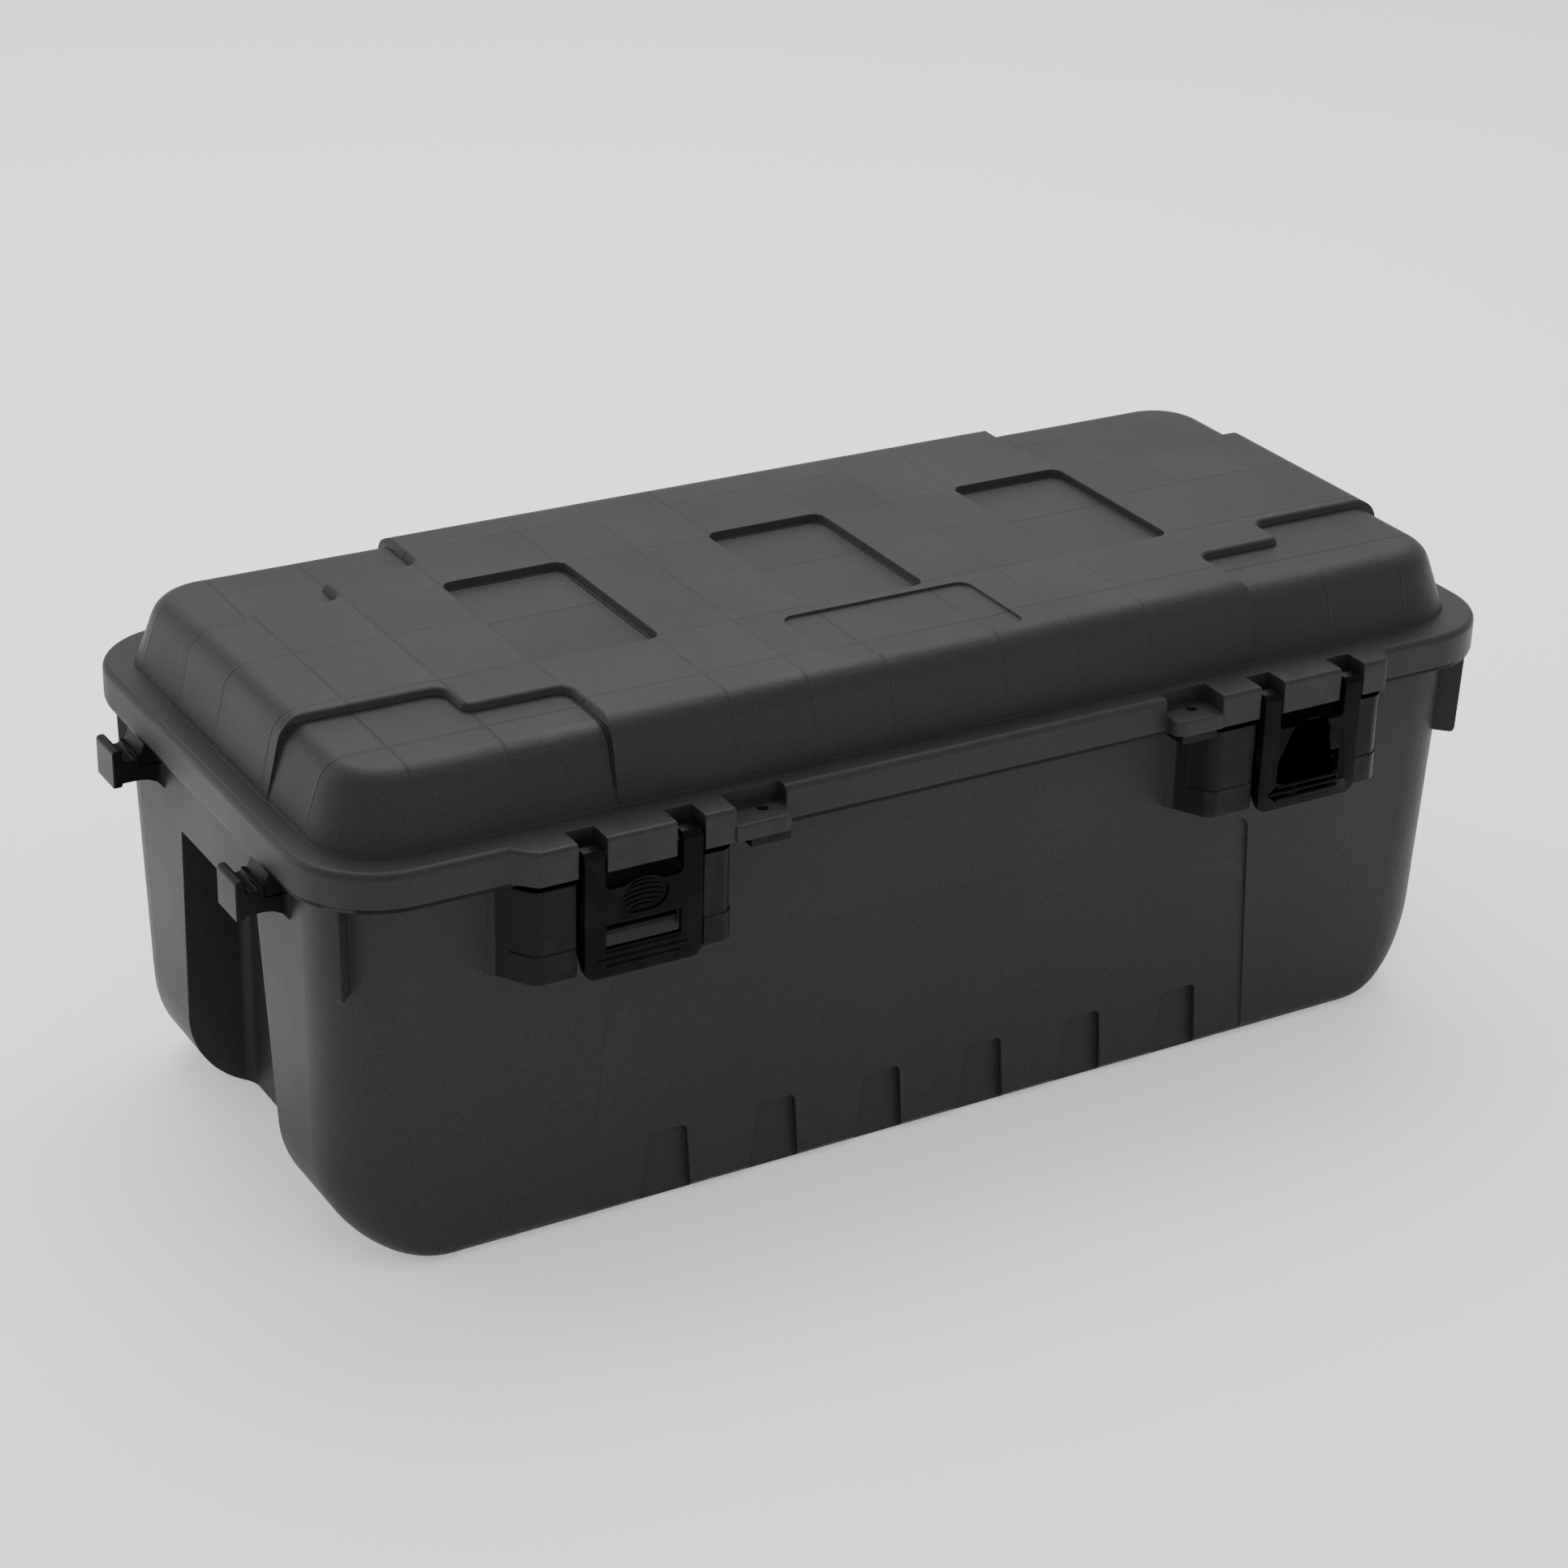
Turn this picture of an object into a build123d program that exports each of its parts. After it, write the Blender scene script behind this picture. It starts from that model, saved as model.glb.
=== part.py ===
"""Footlocker: a moulded storage trunk with a hinged lid and two drawbolt-style latches.

Row frame, millimetres: X runs along the length, -Y is the latch side, +Z is up, and the
origin is the middle of the face that the trunk stands on. The trunk is symmetric about
X = 0 and Y = 0, apart from its latches, padlock tabs and hinges.
"""
from build123d import *
from math import sqrt
import os

# ---- driving dimensions ------------------------------------------------------------
WALL = 3.2              # moulded wall
GAP = 0.4               # free gap between bodies that face each other

# tub: half sizes where the walls meet the floor plane, and what the draft adds at RIM_Z
TUB_X, TUB_X_DRAFT = 453.0, 7.0
TUB_Y, TUB_Y_DRAFT = 186.0, 10.0
RIM_Z = 292.0           # height at which the draft is given
UPSTAND_Z = 312.0       # top of the tub wall, inside the lid
CORNER_R = 51.0         # vertical corners
END_ROUND = 75.0        # rounding from the end walls to the base
EDGE_ROUND = 13.0       # rounding from the long walls to the base
BASE_CORNER_R = 22.0    # plan corner radius at the base

# rim ledge of the tub, and the skirt of the lid that stands on it
RIM_X, RIM_Y, RIM_R = 474.0, 216.0, 64.0
LEDGE_Z, LEDGE_T = 288.3, 2.8
SKIRT_Z, FLANGE_Z = 291.5, 316.0
SKIRT_ROUND = 5.0

# lid dome: half sizes at the flange, then how far the top is drawn in
DOME_X, DOME_Y, DOME_R = 456.0, 193.0, 50.0
DOME_Z0 = 312.5
PLATEAU_Z, PAD_Z = 372.0, 366.0
PLATEAU_DRAW, PAD_DRAW = 13.0, 16.5
DOME_ROUND = 20.0
PAD_X1, PAD_X2 = 257.0, 331.0      # steps of the four corner pads
PAD_Y1, PAD_Y2 = 117.0, 83.0
TRAY_X, TRAY_SIZE, TRAY_DEPTH = 211.0, (95.0, 149.0), 6.0
PLAQUE_SIZE, PLAQUE_Y, PLAQUE_DEPTH = (153.0, 82.0), -123.0, 2.0
RIB_X = (45.5, 106.3, 167.0, 259.0, 327.0, 395.0)
RIB_Y = (-140.0, -71.0, 9.0, 71.0, 140.0)
RIB_T, RIB_H = 1.6, 5.0

# end channels, front and rear panels, foot notches
CHANNEL_TOP_Z, CHANNEL_HALF_TOP, CHANNEL_HALF_BASE = 229.0, 66.0, 89.0
CHANNEL_BACK_BASE, CHANNEL_BACK_DRAFT = 405.0, 8.0
PANEL_TOP_Z, PANEL_HALF_TOP, PANEL_HALF_BASE, PANEL_DEPTH = 193.5, 262.0, 278.0, 3.0
NOTCH_X = (43.0, 129.0, 215.0)
NOTCH_TOP_Z, NOTCH_HALF_TOP, NOTCH_HALF_BASE, NOTCH_DEPTH = 57.0, 15.0, 20.5, 8.0

# tie-down hooks and corner gussets
HOOK_Y, HOOK_W = 108.5, 32.0
HOOK_TIP_X, HOOK_LIP_T = 495.0, 7.0
HOOK_Z0, HOOK_Z1 = 257.0, 285.0
HOOK_ARM_Z0, HOOK_ARM_Z1, HOOK_SEAM_Z = 260.0, 276.0, 270.0
HOOK_RIDGE_X, HOOK_RIDGE_T, HOOK_RIDGE_H = 475.5, 3.5, 2.5
HOOK_WEB_STEP = 1.0     # how far the web above the seam stands back at each side
GUSSET_REACH, GUSSET_DRAFT, GUSSET_T = 67.3, 1.8, 3.2   # reach from the corner axis at the ledge
GUSSET_Z0, GUSSET_ROUND = 219.0, 4.0

# latches: one pivot axis along X in the lid's bosses
LATCH_X = (-259.0, 281.0)
PIVOT_Y, PIVOT_Z, PIVOT_R, PIVOT_EYE_R = -222.0, 300.5, 2.5, 8.7
PIN_CLEAR = 0.05
LATCH_HALF, LATCH_FRONT_Y, LATCH_BACK_Y, LATCH_Z0 = 43.0, -232.5, -216.0, 216.5
PLATE_T, CHEEK_T = 3.6, 4.0
TONGUE_HALF, ARM_INNER, POCKET_HALF, POCKET_BACK_Y = 25.4, 28.6, 46.0, -209.5
ARM_TOP = ((-232.5, 304.0), (-229.5, 308.5), (-222.0, 309.2))   # upper front edge of the arms, Y and Z
THROAT_Z = 280.0
WINDOW_HALF, WINDOW_Z0, WINDOW_Z1 = 27.6, 237.0, 254.3
CATCH_ROOT = 4.0
CATCH_Z0, CATCH_KNEE_Z, CATCH_NOSE_Z0, CATCH_NOSE_Z1, CATCH_Z1 = 238.0, 241.0, 245.5, 248.5, 252.8
CATCH_KNEE_Y, CATCH_CREST_Y = -212.0, -221.0
THUMB_Z, THUMB_RX, THUMB_RZ, THUMB_DEPTH, THUMB_RIM = 271.0, 18.0, 11.8, 1.6, 1.4
GRIP_RIBS = ((234.0, 27.0), (229.0, 33.5), (224.0, 27.0))   # height and half length
BOSS_FRONT_Y, BOSS_BACK_Y = -230.0, -204.5
COLUMN_FRONT_Y, COLUMN_Z0, COLUMN_Z1, COLUMN_SEAM_Z = -228.0, 219.5, 286.5, 240.0
COLUMN_ROUND, COLUMN_STEP, COLUMN_STEP_Y = 11.0, 0.6, -211.0   # corner, seam step and where it ends
HOUSING_IN = 46.5       # half gap between the two columns of one latch
TUB_LEDGE_CLEAR_Y = 208.5   # the ledge stands back here behind the latch arms
# outer ends of each boss (at its front, at the flange) and column (at its front, at the wall)
BOSS_ENDS = (((-333.0, -349.0), (-188.0, -188.0)), ((200.0, 200.0), (348.0, 358.0)))
COLUMN_ENDS = (((-335.0, -358.5), (-189.5, -185.0)), ((199.0, 178.0), (350.0, 356.0)))

# padlock tabs beside the latches: outer end and boss side of each tab, and its hole
HASP_SPANS = ((-190.0, -145.0), (163.0, 202.0))
HASP_HOLE_X = (-161.5, 186.0)
HASP_HOLE_Y, HASP_HOLE_R = -213.5, 4.0
HASP_BACK_Y, HASP_FRONT_Y, HASP_TOP_Z = -205.0, -231.0, 303.0
TUB_TAB_HALF, TUB_TAB_FRONT_Y, TUB_TAB_Z0 = 15.0, -226.0, 283.0

# rear hinges
HINGE_X = (-265.0, 265.0)
HINGE_Y, HINGE_Z, KNUCKLE_R, KNUCKLE_W, KNUCKLE_GAP = 225.5, 290.0, 7.0, 22.0, 0.5
HINGE_PIN_R = 2.5
HINGE_PIN_L = 3 * KNUCKLE_W + 2 * KNUCKLE_GAP + 3.0

FAR = 600.0             # larger than the trunk, for cutting shapes
os.makedirs("parts", exist_ok=True)


# ---- shared shapes -----------------------------------------------------------------
def rounded_plate(half_x, half_y, radius, z):
    """A rounded rectangle lying at height z."""
    with BuildSketch(Plane.XY.offset(z)) as plate:
        RectangleRounded(2 * half_x, 2 * half_y, radius)
    return plate.sketch


def prism(points, plane, depth, both=False):
    """A polygon extruded from a plane."""
    with BuildPart() as shape:
        with BuildSketch(plane):
            with BuildLine():
                Polyline(*points, close=True)
            make_face()
        extrude(amount=depth, both=both)
    return shape.part


def box(x0, x1, y0, y1, z0, z1):
    """A box between two corners."""
    with BuildPart() as shape:
        with Locations(((x0 + x1) / 2, (y0 + y1) / 2, (z0 + z1) / 2)):
            Box(x1 - x0, y1 - y0, z1 - z0)
    return shape.part


def rod(radius, x0, x1, y, z):
    """A cylinder along X."""
    with BuildPart() as shape:
        with BuildSketch(Plane.YZ.offset(x0)):
            with Locations((y, z)):
                Circle(radius)
        extrude(amount=x1 - x0)
    return shape.part


def quarter_round(height, radius):
    """How far a quarter round of this radius stands in at a height above its foot."""
    rise = radius - min(height, radius)
    return radius - sqrt(radius**2 - rise**2)


def tub_section(height, inset, floor):
    """The tub's outline at a height above its own floor, drawn in by inset."""
    z = floor + height
    half_x = TUB_X + TUB_X_DRAFT * z / RIM_Z - quarter_round(height, END_ROUND) - inset
    half_y = TUB_Y + TUB_Y_DRAFT * z / RIM_Z - quarter_round(height, EDGE_ROUND) - inset
    spread = min(height / END_ROUND, 1.0)
    radius = BASE_CORNER_R + (CORNER_R - BASE_CORNER_R) * spread * (2 - spread) - inset
    return rounded_plate(half_x, half_y, radius, z)


def tub_form(inset, floor, top):
    """The solid form of the tub: rounded base, then drafted walls up to top."""
    heights = [END_ROUND * step for step in (0, 0.015, 0.05, 0.11, 0.2, 0.32, 0.46, 0.62, 0.8, 1)]
    with BuildPart() as form:
        loft([tub_section(height, inset, floor).face() for height in heights])
        loft([tub_section(height, inset, floor).face() for height in (END_ROUND, top - floor)],
             ruled=True)
    return form.part


def channel_form(grow):
    """The hand channel of the left end wall, grown all round by the wall when it cuts the inside."""
    top = CHANNEL_TOP_Z + grow
    back_top = CHANNEL_BACK_BASE + CHANNEL_BACK_DRAFT - grow
    half_top, half_base = CHANNEL_HALF_TOP + grow, CHANNEL_HALF_BASE + grow
    with BuildPart() as form:
        with BuildSketch(Plane.YZ.offset(-FAR)):
            with BuildLine():
                Polyline((-half_base, -20), (-half_top, top), (half_top, top), (half_base, -20),
                         close=True)
            make_face()
        extrude(amount=FAR - CHANNEL_BACK_BASE + grow)
        lean = CHANNEL_BACK_DRAFT / CHANNEL_TOP_Z
        split(bisect_by=Plane((-back_top, 0, CHANNEL_TOP_Z), z_dir=(-1, 0, -lean)), keep=Keep.TOP)
        back = form.faces().sort_by(Axis.X)[-1]
        fillet(back.edges().group_by(Axis.Z)[1:], 8)
    return form.part


def wall_recess(half_top, half_base, top, depth, corner, centres, sheath):
    """Recesses in both long walls, open through the base, depth deep and grown by sheath."""
    foot = -20.0
    spread = (half_base - half_top) * (top - foot) / top
    with BuildPart() as shape:
        for centre in centres:
            with BuildSketch(Plane.XZ):
                with BuildLine():
                    Polyline((centre - half_top - spread - sheath, foot),
                             (centre - half_top - sheath, top + sheath),
                             (centre + half_top + sheath, top + sheath),
                             (centre + half_top + spread + sheath, foot), close=True)
                make_face()
        extrude(amount=FAR / 2, both=True)
        fillet(shape.edges().filter_by(Axis.Y).group_by(Axis.Z)[-1], corner + sheath)
        add(drafted_core(depth + sheath), mode=Mode.SUBTRACT)
    return shape.part


def drafted_core(inset):
    """The tub's long walls moved in by inset, wide enough to cut recesses in both of them."""
    y_low, y_high = TUB_Y - inset, TUB_Y - inset + TUB_Y_DRAFT * 320 / RIM_Z
    with BuildPart() as core:
        with BuildSketch(Plane.YZ.offset(-FAR)):
            with BuildLine():
                Polyline((-y_low - 1, -30), (-y_high, 320), (y_high, 320), (y_low + 1, -30), close=True)
            make_face()
        extrude(amount=2 * FAR)
    return core.part


def dome(top_z, draw, inset):
    """One level of the lid's dome: drafted walls and a rounded top edge."""
    with BuildPart() as form:
        loft([rounded_plate(DOME_X - inset, DOME_Y - inset, DOME_R - inset, DOME_Z0).face(),
              rounded_plate(DOME_X - draw - inset, DOME_Y - draw - inset, DOME_R - draw - inset + 8,
                            top_z - inset).face()], ruled=True)
        fillet(form.edges().group_by(Axis.Z)[-1], DOME_ROUND - inset)
    return form.part


def pad_cutter(side_x, side_y, grow):
    """Cuts one corner pad out of the raised plateau: stepped in plan, its edge sloped."""
    step_x1, step_x2 = PAD_X1 - grow, PAD_X2 - grow
    step_y1, step_y2 = PAD_Y1 - grow, PAD_Y2 - grow
    outline = [(step_x1, step_y1), (step_x2, step_y1), (step_x2, step_y2), (FAR, step_y2),
               (FAR, FAR), (step_x1, FAR)]
    outline = [(side_x * x, side_y * y) for x, y in outline]
    with BuildPart() as cutter:
        with BuildSketch(Plane.XY.offset(DOME_Z0 - 1)) as low:
            with BuildLine():
                Polyline(*outline, close=True)
            make_face()
            fillet([v for v in low.vertices() if abs(v.X) < FAR - 1 and abs(v.Y) < FAR - 1], 9)
        extrude(amount=PAD_Z - grow - DOME_Z0 + 2)
        extrude(cutter.faces().sort_by(Axis.Z)[-1], amount=4, taper=-24)
        extrude(cutter.faces().sort_by(Axis.Z)[-1], amount=3, taper=-58)
    return cutter.part


def tray_cutter(x, y, size, depth, radius, grow):
    """A shallow tray sunk in the plateau, with sloped sides."""
    floor = PLATEAU_Z - depth - grow
    with BuildPart() as cutter:
        with BuildSketch(Plane.XY.offset(floor)):
            with Locations((x, y)):
                RectangleRounded(size[0] - 2 + 2 * grow, size[1] - 2 + 2 * grow, radius)
        extrude(amount=depth + 2, taper=-14)
    return cutter.part


def dome_form(inset):
    """The whole dome at the outside (inset 0) or at the inside of the wall (inset WALL)."""
    pads = [pad_cutter(sx, sy, inset) for sx in (-1, 1) for sy in (-1, 1)]
    trays = [tray_cutter(x, 0, TRAY_SIZE, TRAY_DEPTH, 8, inset) for x in (-TRAY_X, 0, TRAY_X)]
    plaque = tray_cutter(0, PLAQUE_Y, PLAQUE_SIZE, PLAQUE_DEPTH, 10, inset)
    plateau, base = dome(PLATEAU_Z, PLATEAU_DRAW, inset), dome(PAD_Z, PAD_DRAW, inset)
    with BuildPart() as form:
        add(plateau)
        add(pads, mode=Mode.SUBTRACT)
        add(base)
        add(trays + [plaque], mode=Mode.SUBTRACT)
    return form.part


# ---- tub ---------------------------------------------------------------------------
def hook_form():
    """One tie-down hook at the left end, near the latch side: an arm with an upturned lip."""
    root_x, groove_x = -(TUB_X + 2), -(HOOK_TIP_X - HOOK_LIP_T)
    ridge_back, ridge_front, web_x = -HOOK_RIDGE_X, -HOOK_RIDGE_X - HOOK_RIDGE_T, -(RIM_X - 2)
    plane = Plane.XZ.offset(HOOK_Y)
    with BuildPart() as hook:
        with BuildSketch(plane) as side:
            with BuildLine():
                Polyline((-HOOK_TIP_X, HOOK_Z0), (-HOOK_TIP_X, HOOK_Z1), (groove_x, HOOK_Z1),
                         (groove_x, HOOK_ARM_Z1), (ridge_front, HOOK_ARM_Z1),
                         (ridge_front, HOOK_ARM_Z1 + HOOK_RIDGE_H), (ridge_back, HOOK_ARM_Z1 + HOOK_RIDGE_H),
                         (ridge_back, HOOK_SEAM_Z), (root_x, HOOK_SEAM_Z), (root_x, 246),
                         (root_x - 5, 251), (root_x - 9, 256), (root_x - 15, 259), (root_x - 21, HOOK_ARM_Z0),
                         (groove_x - 0.5, HOOK_ARM_Z0), (groove_x - 1.5, HOOK_Z0), close=True)
            make_face()
            fillet([v for v in side.vertices() if v.X < groove_x + 0.1 and v.Y > HOOK_Z1 - 1], 3.0)
            fillet([v for v in side.vertices() if abs(v.Y - HOOK_ARM_Z1) < 0.1], 2.0)
        extrude(amount=HOOK_W / 2, both=True)
        tip = [e for e in hook.edges() if e.center().X < groove_x - 1 and abs(e.center().Y + HOOK_Y) > 15]
        fillet(tip, 1.0)
        web = [(web_x, HOOK_SEAM_Z - 1), (web_x, LEDGE_Z + 1), (root_x, LEDGE_Z + 1),
               (root_x, HOOK_SEAM_Z - 1)]
        add(prism(web, plane, HOOK_W / 2 - HOOK_WEB_STEP, both=True))
        bridge = [(ridge_back - 1, HOOK_SEAM_Z), (ridge_back - 1, HOOK_ARM_Z1 - 1), (web_x + 1, LEDGE_Z),
                  (web_x + 1, HOOK_SEAM_Z)]
        add(prism(bridge, plane, HOOK_W / 2 - HOOK_WEB_STEP, both=True))
    return hook.part


def gusset_form():
    """The thin gusset under the ledge at the left corner of the latch side, at 45 degrees."""
    corner = (-(TUB_X + TUB_X_DRAFT - CORNER_R - 1), -(TUB_Y + TUB_Y_DRAFT - CORNER_R - 1), 0)
    root, foot = CORNER_R - 3, GUSSET_REACH - GUSSET_DRAFT
    with BuildPart() as gusset:
        with BuildSketch(Plane(corner, x_dir=(-1, -1, 0), z_dir=(-1, 1, 0))):
            with BuildLine():
                Polyline((root, LEDGE_Z + 1), (GUSSET_REACH, LEDGE_Z + 1), (foot, GUSSET_Z0),
                         (root, GUSSET_Z0), close=True)
            make_face()
        extrude(amount=GUSSET_T / 2, both=True)
        low_edges = [e for e in gusset.edges()
                     if e.center().Z < GUSSET_Z0 + 1 and e.length < GUSSET_T + 0.1]
        fillet(min(low_edges, key=lambda e: e.center().X), GUSSET_ROUND)
    return gusset.part


def column_block(outer_front, outer_wall, inner, inset, z0, z1):
    """One column of a latch housing between two heights, its front and outer faces moved in by inset."""
    turn = 1 if outer_front < inner else -1
    front_y, back_y = COLUMN_FRONT_Y + inset, -(TUB_Y + 4)
    with BuildPart() as block:
        with BuildSketch(Plane.XY.offset(z0)):
            with BuildLine():
                Polyline((outer_wall + turn * inset, back_y), (outer_front + turn * inset, front_y),
                         (inner, front_y), (inner, back_y), close=True)
            make_face()
        extrude(amount=z1 - z0)
        corner = block.edges().filter_by(Axis.Z).filter_by(
            lambda e: e.center().Y < front_y + 1 and abs(e.center().X - inner) > 5)
        fillet(corner, COLUMN_ROUND)
    return block.part


def column_wing(outer_front, outer_wall, inner):
    """The rear half of a column above its seam, which isn't set back."""
    with BuildPart() as wing:
        add(column_block(outer_front, outer_wall, inner, 0, COLUMN_SEAM_Z - 1, COLUMN_Z1))
        add(box(-FAR, FAR, -FAR, COLUMN_STEP_Y, 0, FAR), mode=Mode.SUBTRACT)
    return wing.part


def column_form(index):
    """The two columns of one latch housing. Their front halves are set back above the seam."""
    fronts, centre = COLUMN_ENDS[index], LATCH_X[index]
    with BuildPart() as columns:
        for (outer_front, outer_wall), inner in zip(fronts, (centre - HOUSING_IN, centre + HOUSING_IN)):
            ends = (outer_front, outer_wall, inner)
            add(column_block(*ends, 0, COLUMN_Z0, COLUMN_SEAM_Z))
            add(column_block(*ends, COLUMN_STEP, COLUMN_SEAM_Z - 1, COLUMN_Z1))
            add(column_wing(*ends))
    return columns.part


def catch_form(centre):
    """The ledge behind a latch's window. Its nose stops just short of the latch plate."""
    nose_y = LATCH_FRONT_Y + PLATE_T + GAP
    root_y = -TUB_Y - CATCH_ROOT
    profile = [(root_y, CATCH_Z0), (CATCH_KNEE_Y, CATCH_KNEE_Z), (nose_y, CATCH_NOSE_Z0),
               (nose_y, CATCH_NOSE_Z1), (CATCH_CREST_Y, CATCH_Z1), (root_y, CATCH_Z1)]
    return prism(profile, Plane.YZ.offset(centre), WINDOW_HALF - 1, both=True)


def hinge_web(x, width, points):
    """A knuckle disc and the web that carries it."""
    with BuildPart() as web:
        with BuildSketch(Plane.YZ.offset(x - width / 2)):
            with Locations((HINGE_Y, HINGE_Z)):
                Circle(KNUCKLE_R)
            with BuildLine():
                Polyline(*points, close=True)
            make_face()
        extrude(amount=width)
    return web.part


def four_corners(shape):
    """A shape of the left front corner, with its mirror images in the other three."""
    pair = [shape, mirror(shape, about=Plane.YZ, mode=Mode.PRIVATE)]
    return pair + [mirror(each, about=Plane.XZ, mode=Mode.PRIVATE) for each in pair]


tub_outer = tub_form(0, 0, UPSTAND_Z)
tub_inner = tub_form(WALL, WALL, UPSTAND_Z + 5)
panel = (PANEL_HALF_TOP, PANEL_HALF_BASE, PANEL_TOP_Z, PANEL_DEPTH, 13, (0,))
notches = (NOTCH_HALF_TOP, NOTCH_HALF_BASE, NOTCH_TOP_Z, NOTCH_DEPTH, 5,
           [side * x for x in NOTCH_X for side in (-1, 1)])
recesses = [wall_recess(*panel, 0), wall_recess(*notches, 0)]
recess_backs = [wall_recess(*panel, WALL), wall_recess(*notches, WALL)]
channel, channel_back = channel_form(0), channel_form(WALL)
channels = [channel, mirror(channel, about=Plane.YZ)]
channel_backs = [channel_back, mirror(channel_back, about=Plane.YZ)]
hooks, gussets = four_corners(hook_form()), four_corners(gusset_form())
columns = [column_form(index) for index in (0, 1)]
column_hollows = [
    box(min(front, inner) + WALL, max(front, inner) - WALL, COLUMN_FRONT_Y + WALL, -TUB_Y,
        COLUMN_Z0 + WALL, COLUMN_Z1 - WALL)
    for (left, right), centre in zip(COLUMN_ENDS, LATCH_X)
    for front, inner in ((left[0], centre - HOUSING_IN), (right[0], centre + HOUSING_IN))]

with BuildPart() as inside:
    add(tub_inner)
    add(channel_backs + recess_backs, mode=Mode.SUBTRACT)
    add(column_hollows)

with BuildPart() as tub:
    add(tub_outer)
    with BuildSketch(Plane.XY.offset(LEDGE_Z)):
        RectangleRounded(2 * RIM_X - 2, 2 * RIM_Y - 2, RIM_R - 1)
    extrude(amount=LEDGE_T)
    add(recesses + channels, mode=Mode.SUBTRACT)
    add(hooks + gussets + columns + [catch_form(x) for x in LATCH_X])
    for x in HASP_HOLE_X:
        add(box(x - TUB_TAB_HALF, x + TUB_TAB_HALF, TUB_TAB_FRONT_Y, -TUB_Y, TUB_TAB_Z0,
                LEDGE_Z + LEDGE_T))
    for x in HINGE_X:
        for side in (-1, 1):
            add(hinge_web(x + side * (KNUCKLE_W + KNUCKLE_GAP), KNUCKLE_W,
                          [(TUB_Y, 250), (TUB_Y, LEDGE_Z + LEDGE_T), (HINGE_Y - 8, LEDGE_Z + LEDGE_T),
                           (HINGE_Y, HINGE_Z), (HINGE_Y + 1, HINGE_Z - KNUCKLE_R)]))
        add(rod(HINGE_PIN_R, x - HINGE_PIN_L / 2, x + HINGE_PIN_L / 2, HINGE_Y, HINGE_Z),
            mode=Mode.SUBTRACT)
    for x in LATCH_X:
        add(box(x - HOUSING_IN, x + HOUSING_IN, -RIM_Y, -TUB_LEDGE_CLEAR_Y,
                LEDGE_Z - 2, LEDGE_Z + LEDGE_T + 1), mode=Mode.SUBTRACT)
    for x in HASP_HOLE_X:
        with Locations((x, HASP_HOLE_Y, LEDGE_Z)):
            Cylinder(HASP_HOLE_R, 30, mode=Mode.SUBTRACT)
    add(inside.part, mode=Mode.SUBTRACT)
tub.part.label = "tub"
export_step(tub.part, "parts/tub.step")


# ---- lid ---------------------------------------------------------------------------
def boss_form(index):
    """The solid boss in front of the flange that carries one latch."""
    (left_front, left_rim), (right_front, right_rim) = BOSS_ENDS[index]
    with BuildPart() as boss:
        with BuildSketch(Plane.XY.offset(SKIRT_Z)):
            with BuildLine():
                Polyline((left_rim, BOSS_BACK_Y), (left_rim, -RIM_Y + 1.5), (left_front, BOSS_FRONT_Y),
                         (right_front, BOSS_FRONT_Y), (right_rim, -RIM_Y + 1.5), (right_rim, BOSS_BACK_Y),
                         close=True)
            make_face()
        extrude(amount=FLANGE_Z - SKIRT_Z)
        fillet([e for e in boss.edges().filter_by(Axis.Z) if e.center().Y < BOSS_FRONT_Y + 1], 4)
        top = boss.faces().sort_by(Axis.Z)[-1]
        fillet([e for e in top.edges() if e.center().Y < BOSS_BACK_Y - 0.5], 3.2)
    return boss.part


def hasp_tab(index):
    """The padlock tab of the lid, with its outer corner rounded."""
    outer, inner = HASP_SPANS[index][::-1] if index == 0 else HASP_SPANS[index]
    with BuildPart() as tab:
        add(box(min(outer, inner), max(outer, inner), HASP_FRONT_Y, HASP_BACK_Y, SKIRT_Z, HASP_TOP_Z))
        corner = tab.edges().filter_by(Axis.Z).filter_by(
            lambda e: abs(e.center().X - outer) < 1 and e.center().Y < HASP_FRONT_Y + 1)
        fillet(corner, 9)
        top = tab.faces().sort_by(Axis.Z)[-1]
        outer_edges = [e for e in top.edges()
                       if e.center().Y < HASP_BACK_Y - 1 and abs(e.center().X - inner) > 1]
        fillet(outer_edges, 1.8)
    return tab.part


def wing_hollows(index):
    """Relief pockets under the two wings of a boss, outside its latch."""
    (left_front, _), (right_front, _) = BOSS_ENDS[index]
    inner = POCKET_HALF + 3
    spans = ((left_front + 5, LATCH_X[index] - inner), (LATCH_X[index] + inner, right_front - 5))
    return [box(x0, x1, BOSS_FRONT_Y + 4, BOSS_BACK_Y - 3, SKIRT_Z - 1, FLANGE_Z - 4) for x0, x1 in spans]


dome_outer, dome_inner = dome_form(0), dome_form(WALL)
skirt_hollow = extrude(rounded_plate(RIM_X - 3, RIM_Y - 3, RIM_R - 3, SKIRT_Z - 1),
                       amount=FLANGE_Z - SKIRT_Z - 2)
rib_foot, rib_top = PAD_Z - WALL - RIB_H, PLATEAU_Z - 1
with BuildPart() as ribs:
    for x in RIB_X:
        for side in (-1, 1):
            add(box(side * x - RIB_T / 2, side * x + RIB_T / 2, -DOME_Y, DOME_Y, rib_foot, rib_top))
    for y in RIB_Y:
        add(box(-DOME_X, DOME_X, y - RIB_T / 2, y + RIB_T / 2, rib_foot, rib_top))
    add(dome_inner, mode=Mode.INTERSECT)

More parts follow.
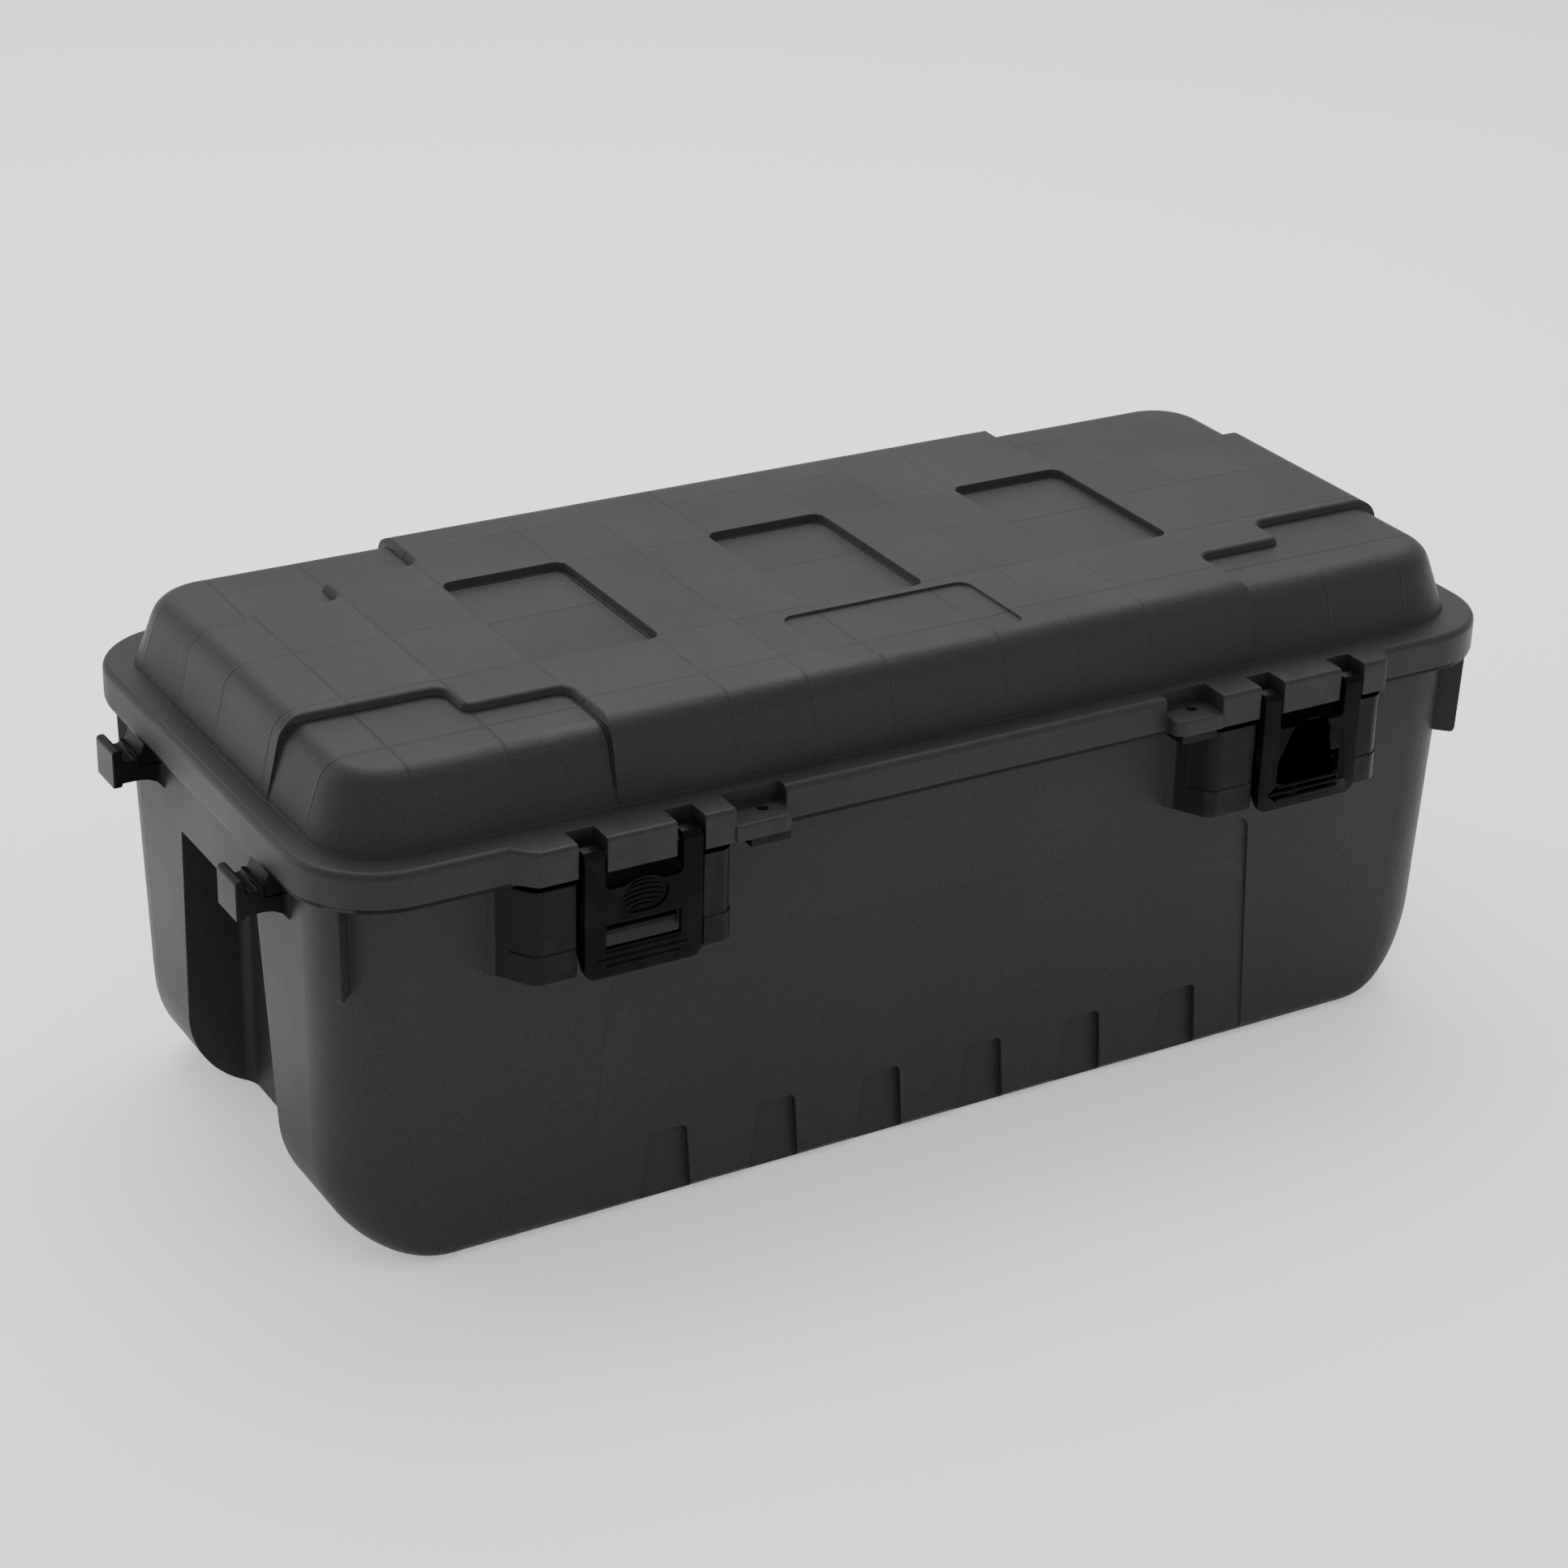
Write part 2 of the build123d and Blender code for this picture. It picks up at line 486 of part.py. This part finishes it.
with BuildPart() as lid:
    with BuildSketch(Plane.XY.offset(SKIRT_Z)):
        RectangleRounded(2 * RIM_X, 2 * RIM_Y, RIM_R)
    extrude(amount=FLANGE_Z - SKIRT_Z)
    fillet(lid.edges().group_by(Axis.Z)[-1], SKIRT_ROUND)
    add(skirt_hollow, mode=Mode.SUBTRACT)
    add(dome_outer)
    add([boss_form(index) for index in (0, 1)])
    for start, end in HASP_SPANS:
        add(box(start - WALL, end + WALL, -RIM_Y + WALL, HASP_BACK_Y + WALL, HASP_TOP_Z - 1, FLANGE_Z - 1))
        add(box(start, end, -RIM_Y - 20, HASP_BACK_Y, HASP_TOP_Z, FLANGE_Z + 10), mode=Mode.SUBTRACT)
    add([hasp_tab(index) for index in (0, 1)])
    add([hollow for index in (0, 1) for hollow in wing_hollows(index)], mode=Mode.SUBTRACT)
    for x in HINGE_X:
        add(hinge_web(x, KNUCKLE_W, [(RIM_Y - 2, SKIRT_Z), (RIM_Y - 2, SKIRT_Z + 15),
                                     (HINGE_Y, HINGE_Z + KNUCKLE_R), (HINGE_Y, HINGE_Z),
                                     (HINGE_Y - 6, SKIRT_Z)]))
        add(rod(HINGE_PIN_R + PIN_CLEAR, x - KNUCKLE_W, x + KNUCKLE_W, HINGE_Y, HINGE_Z),
            mode=Mode.SUBTRACT)
    for x in LATCH_X:
        for side in (-1, 1):
            ends = sorted((x + side * TONGUE_HALF, x + side * POCKET_HALF))
            add(box(*ends, -RIM_Y - 20, POCKET_BACK_Y, SKIRT_Z - 5, FLANGE_Z + 5), mode=Mode.SUBTRACT)
        add(rod(PIVOT_R, x - POCKET_HALF, x + POCKET_HALF, PIVOT_Y, PIVOT_Z), mode=Mode.SUBTRACT)
    for x in HASP_HOLE_X:
        with Locations((x, HASP_HOLE_Y, HASP_TOP_Z)):
            Cylinder(HASP_HOLE_R, 40, mode=Mode.SUBTRACT)
    add(dome_inner, mode=Mode.SUBTRACT)
    add(ribs.part)
lid.part.label = "lid"
export_step(lid.part, "parts/lid.step")


# ---- latches, their pivot pins and the hinge pins ----------------------------------
def latch_side():
    """Side view of a latch: eye round the pivot, straight front, cheeks that taper to the foot."""
    with BuildSketch(Plane.YZ) as side:
        with Locations((PIVOT_Y, PIVOT_Z)):
            Circle(PIVOT_EYE_R)
        with BuildLine():
            Polyline(*ARM_TOP, (PIVOT_Y + PIVOT_EYE_R, PIVOT_Z), (LATCH_BACK_Y, 284),
                     (LATCH_BACK_Y, LATCH_Z0 + 30), (LATCH_BACK_Y - 3, LATCH_Z0 + 18),
                     (LATCH_FRONT_Y + 7, LATCH_Z0 + 8), (LATCH_FRONT_Y + 2.5, LATCH_Z0),
                     (LATCH_FRONT_Y, LATCH_Z0), close=True)
        make_face()
    return side.sketch


def latch_front(centre):
    """Front view of a latch: rounded foot, a throat between the arms and the catch window."""
    top = PIVOT_Z + PIVOT_EYE_R + 1
    with BuildSketch(Plane.XZ.offset(-LATCH_FRONT_Y + 1)) as front:
        with BuildLine():
            Polyline((centre - LATCH_HALF, LATCH_Z0), (centre - LATCH_HALF, top),
                     (centre - ARM_INNER, top), (centre - ARM_INNER, THROAT_Z),
                     (centre + ARM_INNER, THROAT_Z), (centre + ARM_INNER, top),
                     (centre + LATCH_HALF, top), (centre + LATCH_HALF, LATCH_Z0), close=True)
        make_face()
        fillet([v for v in front.vertices() if v.Y < LATCH_Z0 + 1], 8)
        fillet([v for v in front.vertices() if abs(v.Y - THROAT_Z) < 1], 5)
        with Locations((centre, THUMB_Z)):
            Ellipse(THUMB_RX + THUMB_RIM, THUMB_RZ + THUMB_RIM)
        with Locations((centre, (WINDOW_Z0 + WINDOW_Z1) / 2)):
            RectangleRounded(2 * WINDOW_HALF, WINDOW_Z1 - WINDOW_Z0, 1.5, mode=Mode.SUBTRACT)
    return front.sketch


def latch_form(centre):
    """One latch, closed."""
    plate_back = LATCH_FRONT_Y + PLATE_T
    with BuildPart() as latch:
        add(extrude(latch_side().moved(Location((centre, 0, 0))), amount=LATCH_HALF, both=True,
                    mode=Mode.PRIVATE))
        add(extrude(latch_front(centre), amount=-40, mode=Mode.PRIVATE), mode=Mode.INTERSECT)
        add(box(centre - LATCH_HALF + CHEEK_T, centre + LATCH_HALF - CHEEK_T, plate_back, -200,
                LATCH_Z0 - 1, 285), mode=Mode.SUBTRACT)
        add(rod(PIVOT_R + PIN_CLEAR, centre - 60, centre + 60, PIVOT_Y, PIVOT_Z), mode=Mode.SUBTRACT)
        with BuildSketch(Plane.XZ.offset(-LATCH_FRONT_Y)):
            with Locations((centre, THUMB_Z)):
                SlotOverall(2 * THUMB_RX, 2 * THUMB_RZ)
        extrude(amount=-THUMB_DEPTH, mode=Mode.SUBTRACT)
        for z, half in GRIP_RIBS:
            add(rod(1.3, centre - half, centre + half, LATCH_FRONT_Y + 0.2, z))
    return latch.part


for name, x in zip(("latch_left", "latch_right"), LATCH_X):
    with BuildPart() as latch:
        add(latch_form(x))
    latch.part.label = name
    export_step(latch.part, f"parts/{name}.step")

for name, x in zip(("latch_pin_left", "latch_pin_right"), LATCH_X):
    with BuildPart() as latch_pin:
        add(rod(PIVOT_R, x - LATCH_HALF + 0.8, x + LATCH_HALF - 0.8, PIVOT_Y, PIVOT_Z))
        chamfer(latch_pin.edges().filter_by(GeomType.CIRCLE), 0.5)
    latch_pin.part.label = name
    export_step(latch_pin.part, f"parts/{name}.step")

for name, x in zip(("hinge_pin_left", "hinge_pin_right"), HINGE_X):
    with BuildPart() as hinge_pin:
        add(rod(HINGE_PIN_R, x - HINGE_PIN_L / 2, x + HINGE_PIN_L / 2, HINGE_Y, HINGE_Z))
        chamfer(hinge_pin.edges().filter_by(GeomType.CIRCLE), 0.5)
    hinge_pin.part.label = name
    export_step(hinge_pin.part, f"parts/{name}.step")
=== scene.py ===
"""Looks of the footlocker: moulded charcoal plastic tub and lid, glossy black latches, steel pins.

The CAD nodes give every shape and place. Lengths are metres in the row frame: X along the
length, -Y the latch side, +Z up, and the origin in the middle of the base.
"""
import math

import bmesh
import bpy
from mathutils import Matrix, Vector


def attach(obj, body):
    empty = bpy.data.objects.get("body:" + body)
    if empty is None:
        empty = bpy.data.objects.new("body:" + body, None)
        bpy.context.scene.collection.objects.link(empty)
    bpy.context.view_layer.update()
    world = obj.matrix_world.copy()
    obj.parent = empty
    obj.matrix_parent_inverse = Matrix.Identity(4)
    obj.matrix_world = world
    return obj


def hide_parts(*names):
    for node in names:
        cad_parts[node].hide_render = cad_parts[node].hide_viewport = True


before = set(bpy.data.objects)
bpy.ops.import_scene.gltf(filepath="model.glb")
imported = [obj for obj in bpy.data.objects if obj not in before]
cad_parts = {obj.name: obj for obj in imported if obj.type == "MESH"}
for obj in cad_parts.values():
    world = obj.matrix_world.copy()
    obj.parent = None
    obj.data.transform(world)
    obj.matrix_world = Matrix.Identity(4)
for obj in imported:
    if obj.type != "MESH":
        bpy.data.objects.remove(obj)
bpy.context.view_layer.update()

MM = 0.001
GRID_X = (45.5, 106.3, 167.0, 259.0, 327.0, 395.0)      # lid grid lines, either side of the middle
GRID_Y = (-140.0, -71.0, 9.0, 71.0, 140.0)

# thumb dish of each latch, in millimetres: its middle, its floor, and the ridges that stand in it
LATCH_X = {"left": -259.0, "right": 281.0}
THUMB_Z, DISH_Y = 271.0, -231.3
RIDGES = ((9.6, 9.5), (6.2, 13.0), (2.6, 14.5), (-1.0, 14.5), (-4.6, 13.0), (-7.8, 9.0))  # rise, half length
RIDGE_R, RIDGE_BOW, RIDGE_STEPS, RIDGE_SIDES = 1.15, 2.0, 16, 10

FLOOR_HALF, FLOOR_GLOW, SURROUND_STRENGTH = 12.0, 0.35, 0.93
LIGHT_TARGET = (0, 0, 0.2)


# ---- node helpers --------------------------------------------------------------------
class Nodes:
    """Short calls for building one material's node tree."""

    def __init__(self, name):
        self.material = bpy.data.materials.new(name)
        self.material.use_nodes = True
        self.tree = self.material.node_tree
        self.shader = self.tree.nodes["Principled BSDF"]
        self.place = self.add("ShaderNodeTexCoord").outputs["Object"]

    def add(self, kind, **settings):
        node = self.tree.nodes.new(kind)
        for key, value in settings.items():
            setattr(node, key, value)
        return node

    def link(self, value, socket):
        """Feeds a socket from another node's output, or sets it to a plain value."""
        if isinstance(value, bpy.types.NodeSocket):
            self.tree.links.new(value, socket)
        else:
            socket.default_value = value

    def math(self, operation, *values, clamp=False):
        node = self.add("ShaderNodeMath", operation=operation, use_clamp=clamp)
        for value, socket in zip(values, node.inputs):
            self.link(value, socket)
        return node.outputs[0]

    def ramp(self, value, low, high, to_low=0.0, to_high=1.0, smooth=True):
        """Maps value from low..high to to_low..to_high, held at both ends."""
        node = self.add("ShaderNodeMapRange", interpolation_type="SMOOTHSTEP" if smooth else "LINEAR")
        for socket, number in zip(node.inputs, (value, low, high, to_low, to_high)):
            self.link(number, socket)
        return node.outputs[0]

    def noise(self, scale, detail=2.0, roughness=0.5, vector=None):
        node = self.add("ShaderNodeTexNoise")
        self.link(vector or self.place, node.inputs["Vector"])
        node.inputs["Scale"].default_value = scale
        node.inputs["Detail"].default_value = detail
        node.inputs["Roughness"].default_value = roughness
        return node.outputs["Fac"]

    def mix_color(self, factor, low, high):
        node = self.add("ShaderNodeMix", data_type="RGBA")
        self.link(factor, node.inputs[0])
        self.link(low, node.inputs[6])
        self.link(high, node.inputs[7])
        return node.outputs[2]

    def bump(self, height, distance, strength=1.0, normal=None):
        node = self.add("ShaderNodeBump")
        self.link(height, node.inputs["Height"])
        node.inputs["Distance"].default_value = distance
        node.inputs["Strength"].default_value = strength
        if normal:
            self.link(normal, node.inputs["Normal"])
        return node.outputs["Normal"]

    def finish(self, color, roughness, normal, specular=0.5):
        self.link(color, self.shader.inputs["Base Color"])
        self.link(roughness, self.shader.inputs["Roughness"])
        self.link(normal, self.shader.inputs["Normal"])
        self.link(specular, self.shader.inputs["Specular IOR Level"])
        return self.material


def gray(value):
    """A very slightly cool gray."""
    return (value * 0.985, value * 0.99, value * 1.02, 1.0)


# ---- materials -----------------------------------------------------------------------
def moulded_plastic(name, base, grid=False, gloss_and_shade=False):
    """Spark-grained charcoal plastic.

    With grid it has the lid's faint tile lines and tile tones. The second flag makes the tub's latch columns
    and hooks polished, and paints them nearly black as painted shade.
    """
    n = Nodes(name)
    split = n.add("ShaderNodeSeparateXYZ")
    n.link(n.place, split.inputs[0])
    x, y, z = split.outputs
    fine = n.noise(1300.0, detail=2.0, roughness=0.6)
    coarse = n.noise(520.0, detail=2.0, roughness=0.6)
    grain = n.math("ADD", n.math("MULTIPLY", fine, 0.45), n.math("MULTIPLY", coarse, 0.55))
    mottle = n.noise(9.0, detail=3.0)
    color = n.mix_color(n.ramp(grain, 0.38, 0.62, smooth=False), gray(base * 0.72), gray(base * 1.30))
    color = n.mix_color(n.ramp(mottle, 0.35, 0.65, 0.0, 0.3), color, gray(base * 1.12))
    roughness = n.ramp(mottle, 0.3, 0.7, 0.46, 0.54)
    soft_edge = n.add("ShaderNodeBevel", samples=6)
    soft_edge.inputs["Radius"].default_value = 0.0014
    normal = n.bump(grain, 0.00030, normal=soft_edge.outputs[0])
    if grid:
        lines, tiles_x, tiles_y = 0.0, 0.0, 0.0
        for at in sorted(side * line for line in GRID_X for side in (-1, 1)):
            offset = n.math("SUBTRACT", x, at * MM)
            lines = n.math("MAXIMUM", lines, n.ramp(n.math("ABSOLUTE", offset), 0.0, 0.0016, 1.0, 0.0))
            tiles_x = n.math("ADD", tiles_x, n.math("GREATER_THAN", offset, 0.0))
        for at in GRID_Y:
            offset = n.math("SUBTRACT", y, at * MM)
            lines = n.math("MAXIMUM", lines, n.ramp(n.math("ABSOLUTE", offset), 0.0, 0.0016, 1.0, 0.0))
            tiles_y = n.math("ADD", tiles_y, n.math("GREATER_THAN", offset, 0.0))
        lines = n.math("MULTIPLY", lines, n.ramp(z, 0.318, 0.336))
        join = n.add("ShaderNodeCombineXYZ")
        n.link(tiles_x, join.inputs[0])
        n.link(tiles_y, join.inputs[1])
        tile = n.add("ShaderNodeTexWhiteNoise")
        n.link(join.outputs[0], tile.inputs["Vector"])
        tone = n.ramp(tile.outputs["Value"], 0.0, 1.0, 0.0, 0.3, smooth=False)
        color = n.mix_color(tone, color, gray(base * 1.5))
        roughness = n.math("ADD", roughness, n.ramp(tile.outputs["Value"], 0.0, 1.0, -0.03, 0.03))
        normal = n.bump(lines, 0.0005, normal=normal)
    specular = 0.2
    if gloss_and_shade:
        # latch columns and hooks: a polished finish plus painted shade that darkens their colour nearly to
        # black
        column = n.math("MULTIPLY", n.ramp(y, -0.2035, -0.2005, 1.0, 0.0), n.ramp(z, 0.2195, 0.2199))
        hook = n.ramp(n.math("ABSOLUTE", x), 0.4600, 0.4640)
        polished_and_shaded = n.math("MAXIMUM", column, hook)
        color = n.mix_color(n.math("MULTIPLY", polished_and_shaded, 0.72), color, gray(0.0015))
        roughness = n.math("SUBTRACT", roughness, n.math("MULTIPLY", polished_and_shaded, 0.16))
        specular = n.ramp(polished_and_shaded, 0.0, 1.0, 0.2, 0.09)
    # lighter colour in noisy patches along sharp convex edges
    edge = n.add("ShaderNodeNewGeometry").outputs["Pointiness"]
    edge_lightening = n.math("MULTIPLY", n.ramp(edge, 0.52, 0.6), n.ramp(n.noise(60.0), 0.45, 0.7))
    color = n.mix_color(n.math("MULTIPLY", edge_lightening, 0.25), color, gray(base * 2.0))
    return n.finish(color, roughness, normal, specular)


def gloss_plastic(name):
    """Polished black latch plastic with faint handling haze."""
    n = Nodes(name)
    haze = n.noise(45.0, detail=4.0)
    scratch = n.noise(600.0, detail=2.0)
    color = n.mix_color(n.ramp(haze, 0.4, 0.7), gray(0.003), gray(0.006))
    roughness = n.ramp(haze, 0.3, 0.75, 0.20, 0.30)
    return n.finish(color, roughness, n.bump(scratch, 0.00002, 0.6), specular=0.05)


def drawn_steel(name):
    """Plain drawn rod with faint lines along its length."""
    n = Nodes(name)
    stretch = n.add("ShaderNodeMapping")
    n.link(n.place, stretch.inputs["Vector"])
    stretch.inputs["Scale"].default_value = (20.0, 900.0, 900.0)
    lines = n.noise(1.0, detail=3.0, vector=stretch.outputs[0])
    color = n.mix_color(lines, (0.30, 0.30, 0.31, 1), (0.5, 0.5, 0.51, 1))
    n.shader.inputs["Metallic"].default_value = 1.0
    return n.finish(color, n.ramp(lines, 0.3, 0.7, 0.25, 0.4), n.bump(lines, 0.00003))


def dress(obj, material):
    """Gives every material slot of an object this material."""
    if not obj.data.materials:
        obj.data.materials.append(material)
    for index in range(len(obj.material_slots)):
        obj.material_slots[index].link = "OBJECT"
        obj.material_slots[index].material = material


# ---- stage ---------------------------------------------------------------------------
def make_camera():
    """The camera at the photograph's viewing angle."""
    yaw, pitch, roll = 0.5784, -0.4487, 0.0473
    forward = Vector((math.sin(yaw) * math.cos(pitch), math.cos(yaw) * math.cos(pitch), math.sin(pitch)))
    level = forward.cross(Vector((0, 0, 1))).normalized()
    upright = level.cross(forward)
    right = math.cos(roll) * level + math.sin(roll) * upright
    up = math.cos(roll) * upright - math.sin(roll) * level
    data = bpy.data.cameras.new("camera")
    data.sensor_width = 36.0
    data.lens = 84.36
    data.shift_x, data.shift_y = -0.0955, -0.004
    data.clip_end = 50.0
    camera = bpy.data.objects.new("camera", data)
    turn = Matrix((right, up, -forward)).transposed().to_4x4()
    camera.matrix_world = Matrix.Translation((-1.25476, -2.09243, 1.37609)) @ turn
    bpy.context.collection.objects.link(camera)
    bpy.context.scene.camera = camera


def area_light(name, place, target, size, power):
    """A soft rectangular light that looks at a point."""
    data = bpy.data.lights.new(name, "AREA")
    data.shape = "RECTANGLE"
    data.size, data.size_y = size
    data.energy = power
    light = bpy.data.objects.new(name, data)
    light.location = place
    light.rotation_euler = (Vector(target) - Vector(place)).to_track_quat("-Z", "Y").to_euler()
    bpy.context.collection.objects.link(light)


def make_stage():
    """A pale floor, a white surround and soft lights."""
    mesh = bpy.data.meshes.new("floor")
    corners = [(-FLOOR_HALF, -FLOOR_HALF, 0), (FLOOR_HALF, -FLOOR_HALF, 0),
               (FLOOR_HALF, FLOOR_HALF, 0), (-FLOOR_HALF, FLOOR_HALF, 0)]
    mesh.from_pydata(corners, [], [(0, 1, 2, 3)])
    floor = bpy.data.objects.new("floor", mesh)
    floor.location.z = -0.0005
    bpy.context.collection.objects.link(floor)
    n = Nodes("floor_paint")
    tone = n.noise(3.0)
    paint = n.mix_color(tone, (0.90, 0.90, 0.90, 1), (0.93, 0.93, 0.93, 1))
    n.finish(paint, 0.9, n.bump(tone, 0.0001), specular=0.1)
    n.shader.inputs["Emission Color"].default_value = (1, 1, 1, 1)
    n.shader.inputs["Emission Strength"].default_value = FLOOR_GLOW
    mesh.materials.append(n.material)
    world = bpy.data.worlds.new("surround")
    world.use_nodes = True
    world.node_tree.nodes["Background"].inputs[0].default_value = (1, 1, 1, 1)
    world.node_tree.nodes["Background"].inputs[1].default_value = SURROUND_STRENGTH
    bpy.context.scene.world = world
    area_light("key_left", (-2.3, 1.9, 1.2), LIGHT_TARGET, (1.8, 1.4), 20)
    area_light("overhead", (0.6, 1.4, 3.0), LIGHT_TARGET, (3.0, 2.4), 90)


# ---- pieces --------------------------------------------------------------------------
def bevelled_copy(node, name, width, angle):
    """A copy of a CAD node with flat faces merged and its sharp edges rounded."""
    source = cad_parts[node]
    mesh = source.data.copy()
    piece = bpy.data.objects.new(name, mesh)
    bpy.context.collection.objects.link(piece)
    bm = bmesh.new()
    bm.from_mesh(mesh)
    bmesh.ops.remove_doubles(bm, verts=bm.verts, dist=1e-6)
    bmesh.ops.dissolve_limit(bm, angle_limit=math.radians(1.0), verts=bm.verts, edges=bm.edges)
    bm.to_mesh(mesh)
    bm.free()
    for polygon in mesh.polygons:
        polygon.use_smooth = True
    bevel = piece.modifiers.new("round", "BEVEL")
    bevel.width = width
    bevel.segments = 3
    bevel.limit_method = "ANGLE"
    bevel.angle_limit = angle
    bevel.harden_normals = True
    bevel.miter_outer = "MITER_ARC"
    return piece


def thumb_ridges(name, centre):
    """The bowed grip ridges inside a latch's thumb dish, each a rounded bar with tapered ends."""
    bm = bmesh.new()
    for rise, half in RIDGES:
        rings = []
        for step in range(RIDGE_STEPS + 1):
            along = 2 * step / RIDGE_STEPS - 1
            thick = RIDGE_R * max(0.18, (1 - along**4) ** 0.5)
            x, z = centre + along * half, THUMB_Z + rise - RIDGE_BOW * along**2
            rings.append([bm.verts.new((x * MM, (DISH_Y + 0.75 * thick * math.sin(turn)) * MM,
                                        (z + thick * math.cos(turn)) * MM))
                          for turn in (2 * math.pi * k / RIDGE_SIDES for k in range(RIDGE_SIDES))])
        for low, high in zip(rings, rings[1:]):
            for k in range(RIDGE_SIDES):
                bm.faces.new((low[k], low[k - 1], high[k - 1], high[k]))
        bm.faces.new(rings[0])
        bm.faces.new(reversed(rings[-1]))
    bmesh.ops.recalc_face_normals(bm, faces=bm.faces)
    mesh = bpy.data.meshes.new(name)
    bm.to_mesh(mesh)
    bm.free()
    for polygon in mesh.polygons:
        polygon.use_smooth = True
    piece = bpy.data.objects.new(name, mesh)
    bpy.context.collection.objects.link(piece)
    return piece


make_camera()
make_stage()

tub_plastic = moulded_plastic("tub_plastic", 0.017, gloss_and_shade=True)
lid_plastic = moulded_plastic("lid_plastic", 0.017, grid=True)
latch_plastic = gloss_plastic("latch_plastic")
pin_steel = drawn_steel("pin_steel")

dress(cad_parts["tub"], tub_plastic)
dress(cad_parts["lid"], lid_plastic)
for node in ("latch_pin_left", "latch_pin_right", "hinge_pin_left", "hinge_pin_right"):
    dress(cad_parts[node], pin_steel)
for side in ("left", "right"):
    latch = bevelled_copy(f"latch_{side}", f"latch_{side}_moulding", 1.1 * MM, math.radians(28))
    dress(latch, latch_plastic)
    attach(latch, f"{side}_latch")
    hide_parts(f"latch_{side}")
    ridges = thumb_ridges(f"latch_{side}_thumb_ridges", LATCH_X[side])
    dress(ridges, latch_plastic)
    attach(ridges, f"{side}_latch")
